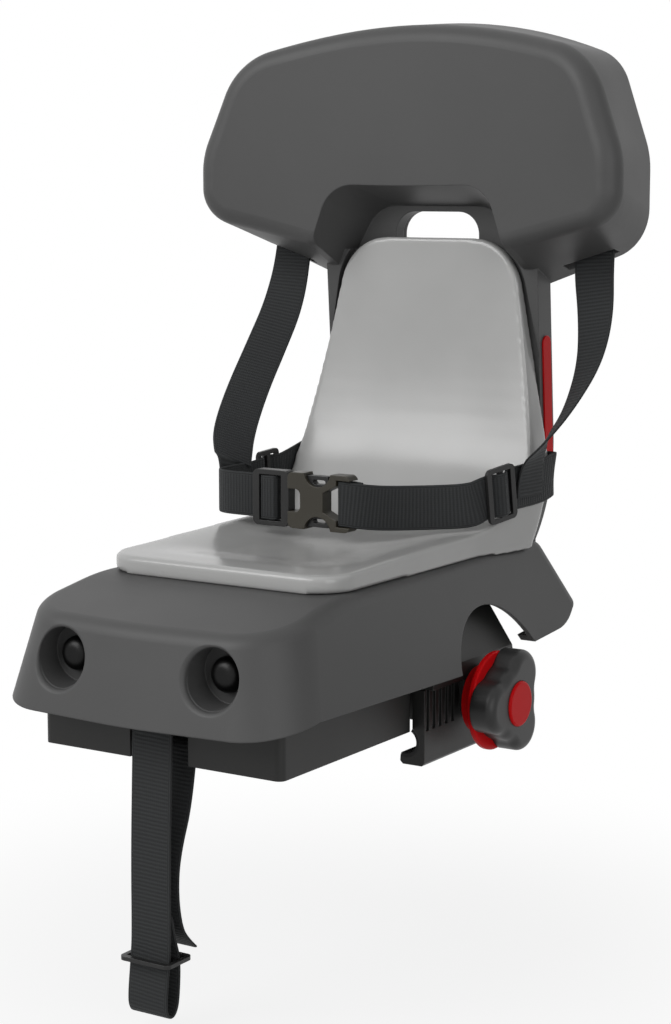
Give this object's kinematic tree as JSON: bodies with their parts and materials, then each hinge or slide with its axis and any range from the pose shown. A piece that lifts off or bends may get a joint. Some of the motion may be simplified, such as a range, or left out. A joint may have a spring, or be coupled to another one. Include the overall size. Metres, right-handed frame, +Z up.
{
  "type": "child bike seat",
  "caption": "Junior bicycle seat for a rear rack: padded pan, tall winged headrest, webbing harness with side-release buckle, and a knob-driven clamp that grips the rack's tubes.",
  "frame": {"origin": "middle of the rack tray's underside, where the seat stands on the rack", "axes": "+Z up, +Y to the rear of the bicycle, +X to the side with the knob"},
  "size_m": [0.3342, 0.3823, 0.6208],
  "materials": {
    "shell_grey": "fine matte grain",
    "black_plastic": "fine matte grain",
    "pad_grey": "smooth, half gloss",
    "webbing_black": "woven, ribbed across",
    "red_plastic": "gloss",
    "buckle_plastic": "satin",
    "knob_plastic": "satin",
    "rubber_black": "matte",
    "steel": "plated",
    "dark_steel": "satin"
  },
  "bodies": {
    "seat": {"seat_shell": "shell_grey", "backrest_shell": "shell_grey", "seat_pad": "pad_grey", "rear_cover": "black_plastic", "rack_tray": "black_plastic", "clamp_housing": "black_plastic", "side_badge": "red_plastic", "shoulder_strap_right": "webbing_black", "shoulder_strap_left": "webbing_black", "lap_strap_right": "webbing_black", "lap_strap_left": "webbing_black", "front_strap": "webbing_black", "front_strap_tail": "webbing_black", "strap_slider_right": "buckle_plastic", "strap_slider_left": "buckle_plastic", "front_strap_slider": "buckle_plastic", "buckle_socket": "buckle_plastic", "front_strap_bar": "steel", "shoulder_anchor_bars": "steel", "lap_anchor_bars": "steel", "front_bolts": "dark_steel", "front_nuts": "steel", "tray_screws": "steel", "housing_screws": "steel", "backrest_bolts": "steel", "backrest_nuts": "steel", "rear_cover_screws": "dark_steel"},
    "knob": {"clamp_knob": "knob_plastic", "knob_cap": "red_plastic", "knob_collar": "red_plastic", "clamp_spindle": "steel", "thrust_washer": "steel", "retaining_ring": "steel"},
    "jaw_right": {"clamp_jaw_right": "black_plastic", "jaw_pad_right": "rubber_black", "jaw_nut_right": "steel"},
    "jaw_left": {"clamp_jaw_left": "black_plastic", "jaw_pad_left": "rubber_black", "jaw_nut_left": "steel"},
    "tongue": {"buckle_tongue": "buckle_plastic"}
  },
  "joints": [
    {"name": "knob_turn", "type": "hinge", "parent": "seat", "child": "knob", "pos_m": [0.11, 0.13, 0.013], "axis": [1, 0, 0], "range_deg": [0, 1800]},
    {"name": "jaw_right_slide", "type": "slide", "parent": "seat", "child": "jaw_right", "axis": [-1, 0, 0], "range_m": [0, 0.0202]},
    {"name": "jaw_left_slide", "type": "slide", "parent": "seat", "child": "jaw_left", "axis": [1, 0, 0], "range_m": [0, 0.0202]},
    {"name": "buckle_release", "type": "slide", "parent": "seat", "child": "tongue", "axis": [-1, 0, 0], "range_m": [0, 0.024], "deforming": ["lap_strap_left"]}
  ],
  "couplings": [
    {"joint": "jaw_right_slide", "follows": "knob_turn", "m_per_rad": 0.00063662},
    {"joint": "jaw_left_slide", "follows": "knob_turn", "m_per_rad": 0.00063662}
  ]
}
